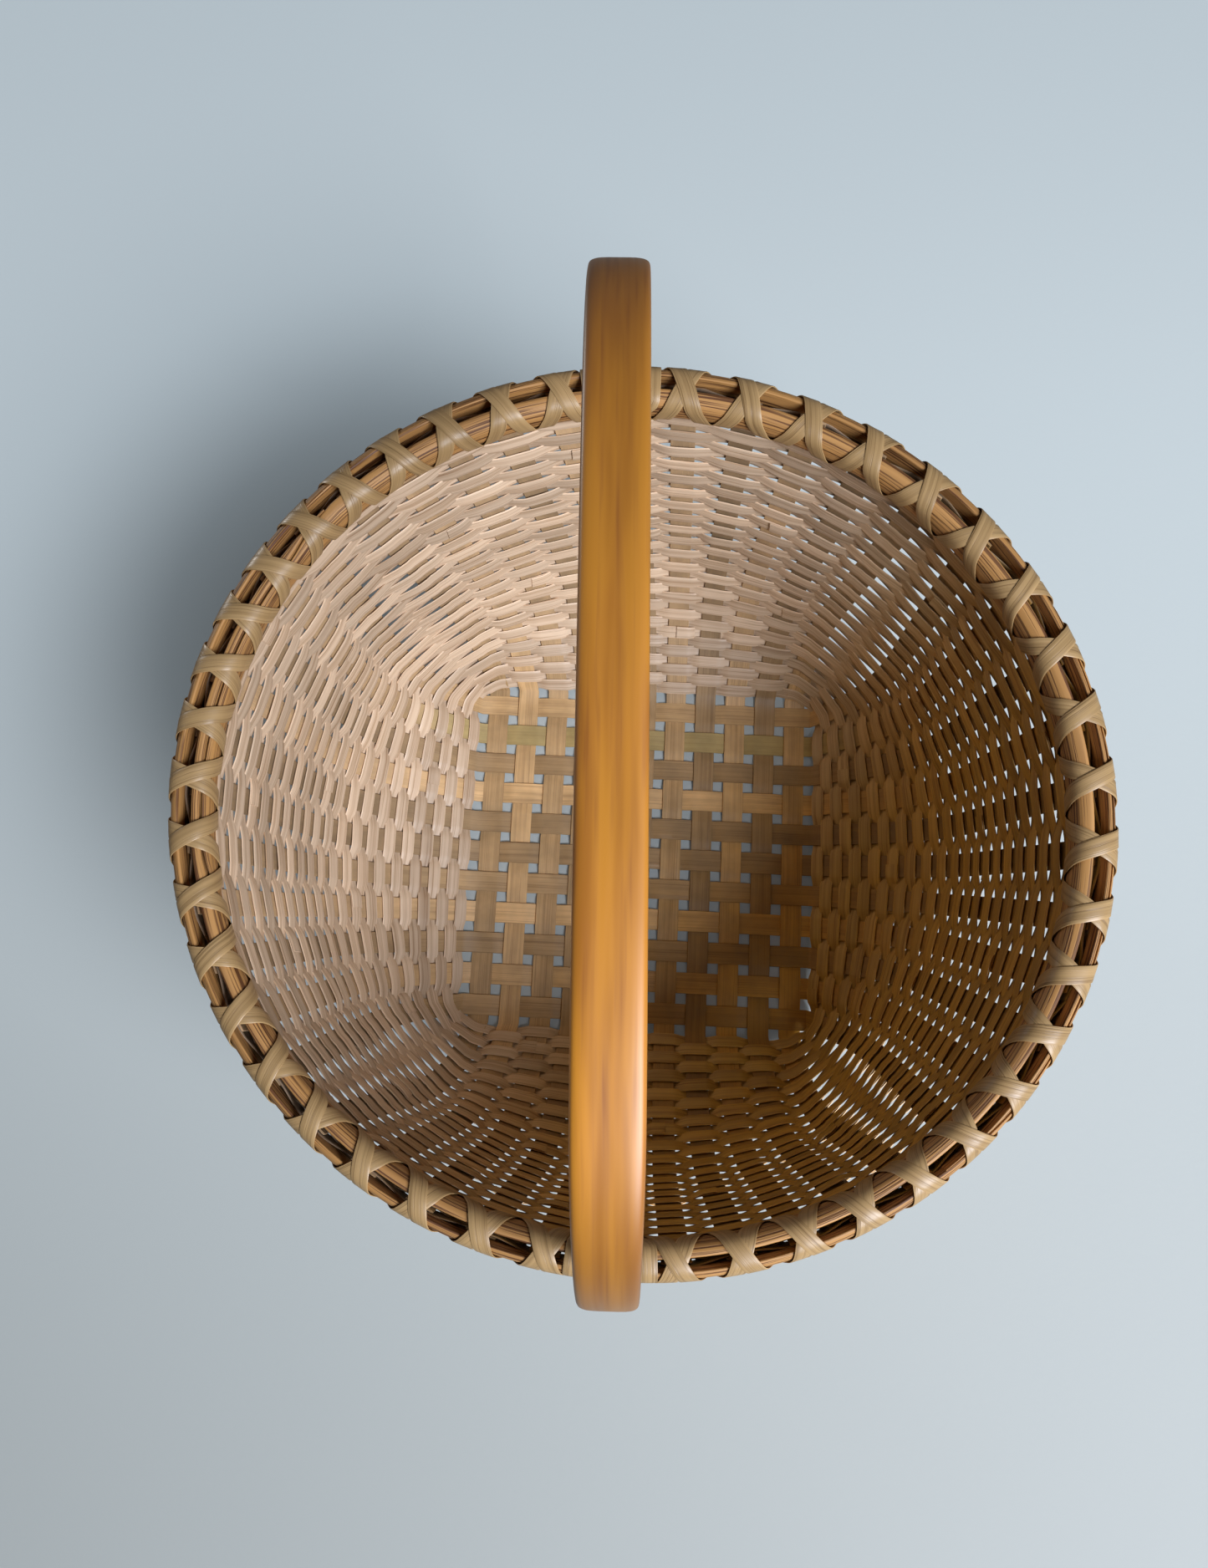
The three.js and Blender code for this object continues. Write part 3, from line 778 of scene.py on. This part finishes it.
def weaver_strip(wall, row):
    """One round of weaving. It lies flat on an upright, dives through the gap and narrows there."""
    weavers = wall.weavers
    height = wall.row_height(row)
    hidden = row >= weavers.rows - weavers.hidden
    width = weavers.width * (weavers.hidden_width if hidden else 1) * (1 + jitter(row + 400, 0.03))
    strip = Strip(eased_section(width, weavers.thickness, crown=0.00014))
    start = (row * 17) % wall.count - 0.35  # the ends of the rows lie far apart
    run = wall.count + weavers.overlap
    steps = int(run * 10)  # ten to an upright
    half_splint = wall.size.splint_width / 2
    gaps = [(wall.at(n + 1, height) - wall.at(n, height)).length for n in range(wall.count)]
    usual = sum(gaps) / len(gaps)
    places = []
    for step in range(steps + 1):
        place = start + run * step / steps
        n = math.floor(place + 0.5)
        outside = 1 if (n + row) % 2 == 0 else -1
        gap = gaps[math.floor(place) % wall.count]
        aside = abs(place - n) * gap
        loose = clamp((gap / wall.size.pitch - 1) * 2)  # 0 where the uprights stand as in the base
        corner = clamp((gap / usual - 1) * 3)  # 0 where they stand no further apart than most in this row
        hold = mix(weavers.hold_low, weavers.hold, loose) * half_splint
        dive = clamp((aside - hold) / (gap / 2 - hold))
        # The end of a row lies over its start.
        lapped = ease((place - start - wall.count + 1.2) / 0.8) * weavers.thickness * 1.05
        swing = weavers.swing * (1 + weavers.corner_swing * corner) + lapped
        swing += weavers.bow * (1 - (2 * aside / gap) ** 2) + jitter(n * 131 + row, 0.0001)
        centre, _, out, up = wall.frame(place, height)
        drift = jitter(n * 59 + row * 7, 0.00015) * (1 - dive)
        centre = centre + out * (outside * swing * math.cos(math.pi / 2 * dive)) + up * drift
        waist = 1 if hidden else weavers.waist * (1 - weavers.corner_waist * corner)
        places.append((centre, up, mix(1, waist, dive ** mix(3, 1.4, loose))))
    for i, (centre, up, wide) in enumerate(places):
        across, out = squared(up, heading(places, i))
        strip.station(centre, across, -out, wide=wide)
    return strip


class RimSection:
    """The rounded outline that both hoops and the lashing share, seen in a cut through the rim."""

    STEPS = 360

    def __init__(self, rim, wall):
        self.middle = (rim.outside + wall.inside) / 2
        self.half_width = (rim.outside - wall.inside) / 2
        self.half_height = rim.height / 2
        self.centre_height = rim.top - self.half_height
        self.power = rim.roundness
        turns = [math.pi * (2 * i / self.STEPS - 0.5) for i in range(self.STEPS + 1)]
        self.points = [self.corner(turn) for turn in turns]
        self.run = run_along(self.points)
        self.around = self.run[-1]

    def corner(self, turn):
        aside, up = squarish(turn, self.power)
        return Vector((self.middle + self.half_width * aside, self.centre_height + self.half_height * up))

    def height_at(self, radius):
        """Half the height of the outline at a radius."""
        off = clamp(abs(radius - self.middle) / self.half_width)
        return self.half_height * (1 - off**self.power) ** (1 / self.power)

    def at(self, distance):
        """The point at a distance round from the middle of the underside, and the way out there."""
        point, low = point_along(self.points, self.run, distance)
        ahead = self.points[min(low + 4, self.STEPS)] - self.points[max(low - 3, 0)]
        return point, Vector((ahead.y, -ahead.x)).normalized()


def hoop_outline(section, low, high, rounding):
    """The corners of a hoop's cut between two radii, over its top and back along its underside."""
    points = 14
    soft = min(rounding, (high - low) / 2)
    top = []
    for i in range(points):
        radius = mix(low, high, (1 - math.cos(math.pi * i / (points - 1))) / 2)
        into = clamp(min(radius - low, high - radius) / soft)
        top.append((radius, section.height_at(radius) - soft * (1 - math.sqrt(1 - (1 - into) ** 2))))
    return top + [(radius, -half) for radius, half in reversed(top)]


def scarf(place):
    """The share of a hoop's thickness that its first end has along the scarf joint: none at its tip,
    half along it, all past it."""
    return 0.5 * ease(place / 0.16) + 0.5 * ease((place - 0.84) / 0.16)


def ply_radii(rim, low, thickness, from_start, to_end, inner_first):
    """The radii between which a hoop lies, where its start and its end are so many laps away."""
    high = low + thickness
    first, last = scarf(from_start), 1 - scarf(1 - to_end)
    if first < 1:
        edge = max(first * thickness, TIP)
        return (low, low + edge) if inner_first else (high - edge, high)
    if last < 1:
        edge = max(last * thickness, TIP)
        return (high - edge + rim.seam, high) if inner_first else (low, low + edge - rim.seam)
    return low, high


def hoop_strip(rim, section, start, lap, outside, thickness, inner_first):
    """A hoop bent from one strip. inner_first says that its first end is the inner ply of its joint."""
    run = 2 * math.pi + lap
    steps = 240
    outlines = []
    for step in range(steps + 1):
        part = step / steps
        laps = part * run / lap, (1 - part) * run / lap
        radii = ply_radii(rim, outside - thickness, thickness, *laps, inner_first)
        outlines.append(hoop_outline(section, *radii, rim.edge_rounding))
    tilt = -1 if inner_first else 1  # its grain shows from outside, or from within
    strip = Strip([(r - section.middle + tilt * z, 0) for r, z in outlines[steps // 2]])
    for step, outline in enumerate(outlines):
        radial = plan(start + run * step / steps)
        ring = [radial * r + UP * (section.centre_height + z) for r, z in outline]
        strip.station(radial * section.middle, radial, radial, ring=ring)
    return strip


def band_strip(rim, first, last):
    """The thin band between the hoops, from beside one leg of the handle to beside the other."""
    strip = Strip(eased_section(rim.band_width, rim.band_thickness))
    steps = 180
    for step in range(steps + 1):
        turn = mix(first, last, step / steps)
        wave = 0.0009 * math.sin(turn * 5) + 0.0005 * math.sin(turn * 13 + 1)
        height = rim.top - rim.band_width / 2 - rim.band_drop + wave
        centre = plan(turn) * (rim.inner_outside + rim.band_thickness) + UP * height
        strip.station(centre, UP, plan(turn))
    return strip


def lashing_strip(wall, rim, section, direction):
    """A strip wound once round both hoops in each space. The run that goes the other way lies over it."""
    legs = (wall.number(1, 0), wall.number(3, 0))
    strip = Strip(eased_section(rim.lashing_width, rim.lashing_thickness, crown=0.00012))
    around = section.around
    top = around / 2
    under = around * 0.14  # how much of a round lies along the underside, at each end
    leg_aside = 0.0135 / section.middle  # how far beside a leg it passes
    steps = 44
    places = []
    for turn in range(wall.count):
        n = turn if direction > 0 else wall.count - turn
        start, end = [wall.space_angle(m) for m in (n - 1, n)[::direction]]
        end = nearest_turn(end, start)
        beside = nearest_turn(wall.top_angle(n) - direction * leg_aside, start)
        at_leg = n % wall.count in legs
        for step in range(steps):
            s = around * step / steps
            to_end = min(s, around - s)
            part = rim.lashing_tuck * to_end / under
            if to_end >= under:
                part = mix(rim.lashing_tuck, 0.5, (to_end - under) / (top - under))
            turned = mix(start, end, part if s < top else 1 - part)
            if at_leg:
                turned = mix(start, beside, ease(s / (top * 0.8)))
                turned = mix(turned, end, ease((s - top * 1.22) / (around * 0.3)))
            over = 0
            if direction < 0:  # it steps over the other run on top and underneath
                over = math.exp(-((to_end / 0.007) ** 2))
                over += 0 if at_leg else math.exp(-(((s - top) / 0.0055) ** 2))
            lift = rim.lashing_thickness * (0.75 + 1.3 * over) + 0.00025
            point, away = section.at(s)
            point = point + away * lift
            radial = plan(turned)
            places.append((radial * point.x + UP * point.y, radial * away.x + UP * away.y))
    for i, (centre, normal) in enumerate(places):
        ahead = heading(places, i, 2)
        across = normal.cross(ahead).normalized()
        strip.station(centre, across, ahead.cross(across).normalized())
    return strip


class ArchPath:
    """The middle line of the handle, from the tip of one leg over the arch to the tip of the other."""

    AIR = 0.0005  # between a leg and what it passes
    GAP = 0.0003  # between a leg and the inner hoop
    TAPER, TAPER_LENGTH = 0.1, 0.06  # how much the grip narrows to its near end, and over what length
    ARCH_START = 0.006  # how high above its base the arch's curve takes over

    def __init__(self, scene, wall):
        self.size = size = scene.basket_handle
        self.wall = wall
        rim = scene.basket_rim
        self.base = rim.top + size.arch_lift
        self.rise = size.top - size.thickness / 2 - self.base
        self.numbers = (wall.number(3, 0), wall.number(1, 0))
        radius = rim.inner_outside + self.GAP + size.leg_thickness / 2
        self.feet = [plan(wall.top_angle(n)) * radius for n in self.numbers]
        self.along = self.feet[1] - self.feet[0]
        self.half = self.along.length / 2
        self.along.normalize()
        self.across = self.along.cross(UP)
        self.centre = (self.feet[0] + self.feet[1]) / 2

    def leg(self, index):
        """Stations of a leg from its tip up to the arch: centre, width and thickness."""
        size, wall = self.size, self.wall
        weavers = wall.weavers
        foot = self.feet[index]
        tip = (wall.slope - size.tuck_length) / wall.length
        inset = weavers.swing + weavers.bow + weavers.thickness + size.tuck_thickness / 2 + self.AIR
        rows = []
        steps = 14
        for step in range(steps):
            part = step / steps
            centre, _, out, _ = wall.frame(self.numbers[index], mix(tip, wall.slope / wall.length, part))
            grown = ease(part / 0.35)
            width = mix(size.tip_width, size.leg_width, grown)
            rows.append((centre - out * inset, width, size.tuck_thickness * mix(0.4, 1, grown)))
        low, high = wall.rim_bottom - self.AIR, wall.rim_top + self.AIR
        for height in (low, (low + high) / 2, high):
            rows.append((foot + UP * height, size.leg_width, size.leg_thickness))
        for part in (0.35, 0.7, 1.0):
            height = mix(high, self.base + 0.004, part)
            width = mix(size.leg_width, size.width * 0.97, ease(part))
            thick = mix(size.leg_thickness, size.thickness * 0.92, ease(part))
            rows.append((foot + UP * height, width, thick))
        return rows

    def stations(self):
        size = self.size
        rows = self.leg(0)
        start = math.asin(clamp(self.ARCH_START / self.rise) ** (size.exponent / 2))
        steps = 90
        for i in range(steps + 1):
            run, climb = squarish(mix(start, math.pi - start, i / steps), size.exponent)
            point = self.centre - self.along * (self.half * run) + UP * (self.base + self.rise * climb)
            near_end = 1 - ease((self.half + point.dot(self.along)) / self.TAPER_LENGTH)
            rows.append((point, size.width * (1 - self.TAPER * near_end), size.thickness))
        return rows + self.leg(1)[::-1]


def handle_strip(arch):
    size = arch.size
    points = 32
    corners = [squarish(-2 * math.pi * (i + 0.5) / points, size.section_exponent) for i in range(points)]
    strip = Strip([(a * size.width / 2, o * size.thickness / 2) for a, o in corners])
    rows = arch.stations()
    for i, (centre, width, thick) in enumerate(rows):
        across, out = squared(arch.across, heading(rows, i))
        strip.station(centre, across, out, wide=width / size.width, thick=thick / size.thickness)
    return strip


class BASKET_OT_splints(bpy.types.Operator):
    """Lay the splints that plait the base and climb the wall"""

    bl_idname = "basket.splints"
    bl_label = "Splints"

    def execute(self, context):
        wall = Wall(context.scene)
        wood = splint_wood(context.scene)
        for kind, side, over in (("long_splint", 3, -1), ("cross_splint", 0, 1)):
            for k in range(-wall.half, wall.half + 1):
                number = k + wall.half + 1
                seed = number + (40 if side else 0)
                name = f"{kind}_{number:02d}"
                green = 1.0 if (side, k) == (0, 4) else 0.0
                strip = base_splint(wall, side, k, over, seed)
                strip.make(wall, f"plaited_{name}", "splint", wood, [name],
                           seed=seed * GOLDEN, tone=0.5 + jitter(seed + 90, 0.5), hue=green)
        return {"FINISHED"}


class BASKET_OT_weavers(bpy.types.Operator):
    """Weave the narrow rows round the uprights"""

    bl_idname = "basket.weavers"
    bl_label = "Weavers"

    def execute(self, context):
        wall = Wall(context.scene)
        wood = weaver_wood(context.scene)
        nodes = sorted(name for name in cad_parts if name.startswith("weaver_"))
        rows = wall.weavers.rows
        for row in range(rows):
            hidden = row >= rows - wall.weavers.hidden
            # The hidden rows take a dark tone: painted shade in the gap between the hoops.
            tone = wall.weavers.hidden_shade_tone if hidden else 0.5 + jitter(row + 700, 0.5)
            replaced = nodes[len(nodes) * row // rows:len(nodes) * (row + 1) // rows]
            strip = weaver_strip(wall, row)
            strip.make(wall, f"woven_row_{row + 1:02d}", "weaver", wood, replaced,
                       seed=row * GOLDEN + 3, tone=tone)
        return {"FINISHED"}


class BASKET_OT_hoops(bpy.types.Operator):
    """Bend the two hoops of the rim and the thin band between them"""

    bl_idname = "basket.hoops"
    bl_label = "Hoops"

    def execute(self, context):
        scene = context.scene
        rim = scene.basket_rim
        wall = Wall(scene)
        section = RimSection(rim, wall)
        wood = hoop_wood(scene)
        outer = rim.outer_scarf, rim.outer_lap, rim.outside, rim.outer_thickness, True
        inner = rim.inner_scarf, rim.inner_lap, rim.inner_outside, rim.inner_thickness, False
        for name, hoop, seed in (("outer_hoop", outer, 1.7), ("inner_hoop", inner, 4.1)):
            strip = hoop_strip(rim, section, *hoop)
            strip.make(wall, f"bent_{name}", "hoop", wood, [name], seed=seed)
        wood = weaver_wood(scene)
        legs = [wall.top_angle(wall.number(side, 0)) for side in (1, 3)]
        room = (scene.basket_handle.width / 2 + 0.002) / rim.inner_outside
        for i, name in enumerate(("left_band", "right_band")):
            first = legs[i] + room
            last = first + (legs[1 - i] - room - first) % (2 * math.pi)
            band_strip(rim, first, last).make(wall, f"thin_{name}", "weaver", wood, seed=6.6 + i, tone=0.8)
        return {"FINISHED"}


class BASKET_OT_lashing(bpy.types.Operator):
    """Wind the lashing round the hoops, there and back, so that it crosses on top"""

    bl_idname = "basket.lashing"
    bl_label = "Lashing"

    def execute(self, context):
        rim = context.scene.basket_rim
        wall = Wall(context.scene)
        section = RimSection(rim, wall)
        wood = lashing_wood(context.scene)
        for name, direction, seed in (("lashing_under", 1, 2.3), ("lashing_over", -1, 5.9)):
            strip = lashing_strip(wall, rim, section, direction)
            strip.make(wall, f"wound_{name}", "lashing", wood, [name], seed=seed)
        return {"FINISHED"}


class BASKET_OT_handle(bpy.types.Operator):
    """Carve the bail handle with its tucked legs"""

    bl_idname = "basket.handle"
    bl_label = "Handle"

    def execute(self, context):
        wall = Wall(context.scene)
        strip = handle_strip(ArchPath(context.scene, wall))
        wood = handle_wood(context.scene)
        strip.make(wall, "carved_handle", "handle", wood, ["bail_handle"], seed=8.3)
        return {"FINISHED"}


# Stage


UNDER_BASE = (0.125, 0.15)  # the table's colour under the base, and the painted shade that cuts its lift, end between these radii
TABLE_DEPTH = (-0.45, 0.35)  # along Y, from its near side to its far side, over which the painted light of the lift grows


def table_finish(room):
    """A matt pale table. What the camera sees of it is lifted a little, which lights nothing else.
    That lift is painted light, weaker at the near side than at the far side. It fades to a painted shadow
    round the middle of the basket's shade and to a painted shade under the base.
    """
    top = Finish("pale_table")
    grain = top.noise(top.place, detail=4.0, roughness=0.6, scale=220.0)
    seen = top.node("ShaderNodeLightPath", output="Is Camera Ray")
    _, depth, _ = top.parts(top.place)
    clear_of_base = top.ramp(top.measure("DISTANCE", top.place, (0, 0, 0)), *UNDER_BASE)
    from_shade = top.measure("DISTANCE", top.place, room.shade_middle)
    # Painted shadow: the lift fades towards the shade's middle.
    unshaded = top.ramp(from_shade, room.shade_reach * 0.2, room.shade_reach, 0.3, 1)
    # Painted shade under the base: only the under share of the lift is left there.
    part = seen * (clear_of_base * unshaded + (1.0 - clear_of_base) * room.under_lift)
    # Painted light: the lift grows from the near side to the far side.
    lift = top.mixed(top.ramp(depth, *TABLE_DEPTH), room.near_lift, room.far_lift)
    surface = top.mixed(clear_of_base, room.table_shade, room.table)
    top.set(Base_Color=surface, Roughness=0.7, Normal=top.bump(grain, 0.0002, 0.3))
    top.set(Emission_Color=top.mixed(part, (0, 0, 0), lift), Emission_Strength=1.0)
    return top.material


def room_light(room):
    """A weak light from all round. The camera sees a pale wall in its place, and what shines some of it."""
    world = bpy.data.worlds.new("room")
    air = Nodes(world)
    air.tree.nodes.remove(air.tree.nodes["Background"])
    sky = air.node("ShaderNodeBackground", None, {"Color": room.sky_tint, "Strength": room.sky})
    wall = air.node("ShaderNodeBackground", None, {"Color": room.wall})
    glossy = air.node("ShaderNodeLightPath", output="Is Glossy Ray")
    seen = air.node("ShaderNodeLightPath", output="Is Camera Ray")
    both = air.node("ShaderNodeMixShader", None, {0: glossy * room.shine + seen, 1: sky, 2: wall})
    air.feed(air.tree.nodes["World Output"], {"Surface": both})
    return world


def add_lamp(name, place, target, size, power, tint):
    lamp = bpy.data.lights.new(name, "AREA")
    lamp.shape = "DISK"
    lamp.size = size
    lamp.energy = power
    lamp.color = tint
    holder = bpy.data.objects.new(name, lamp)
    holder.location = place
    holder.rotation_euler = (Vector(target) - Vector(place)).to_track_quat("-Z", "Y").to_euler()
    bpy.context.scene.collection.objects.link(holder)


class BASKET_OT_stage(bpy.types.Operator):
    """Set the table, the lights and the camera"""

    bl_idname = "basket.stage"
    bl_label = "Stage"

    def execute(self, context):
        scene = context.scene
        room = scene.basket_room
        mesh = bmesh.new()
        bmesh.ops.create_grid(mesh, x_segments=1, y_segments=1, size=6)
        add_object("table", mesh, table_finish(room))

        window_tint, far_tint = (0.95, 0.99, 1.12), (1, 0.97, 0.92)
        add_lamp("window", room.window, (0, 0, 0.1), room.window_size, room.window_power, window_tint)
        add_lamp("far_room", room.far_room, (0, 0, 0.15), room.far_room_size, room.far_room_power, far_tint)
        scene.world = room_light(room)
        scene.view_settings.view_transform = "Standard"

        lens = bpy.data.cameras.new("eye")
        lens.sensor_width = 36
        lens.lens = room.lens
        lens.clip_start = 0.01
        eye = bpy.data.objects.new("eye", lens)
        eye.location = room.eye
        eye.rotation_euler = (room.tilt, room.roll, room.turn)
        scene.collection.objects.link(eye)
        scene.camera = eye
        return {"FINISHED"}


OPERATORS = (
    BASKET_OT_stage,
    BASKET_OT_splints,
    BASKET_OT_weavers,
    BASKET_OT_hoops,
    BASKET_OT_lashing,
    BASKET_OT_handle,
)


class BASKET_PT_panel(bpy.types.Panel):
    """Sizes and colours of the basket, and the steps that make it"""

    bl_idname = "BASKET_PT_panel"
    bl_label = "Splint basket"
    bl_space_type = "VIEW_3D"
    bl_region_type = "UI"
    bl_category = "Basket"

    def draw(self, context):
        for name in SETTINGS:
            box = self.layout.box()
            group = getattr(context.scene, name)
            for key in group.bl_rna.properties.keys():
                if key not in ("rna_type", "name"):
                    box.prop(group, key)
        for operator in OPERATORS:
            self.layout.operator(operator.bl_idname)


CLASSES = (*SETTINGS.values(), *OPERATORS, BASKET_PT_panel)


def register():
    for cls in CLASSES:
        bpy.utils.register_class(cls)
    for name, group in SETTINGS.items():
        setattr(bpy.types.Scene, name, PointerProperty(type=group))


def unregister():
    for name in SETTINGS:
        delattr(bpy.types.Scene, name)
    for cls in reversed(CLASSES):
        bpy.utils.unregister_class(cls)


def main():
    register()
    bpy.ops.basket.stage()
    bpy.ops.basket.splints()
    bpy.ops.basket.weavers()
    bpy.ops.basket.hoops()
    bpy.ops.basket.lashing()
    bpy.ops.basket.handle()


if __name__ == "__main__":
    main()
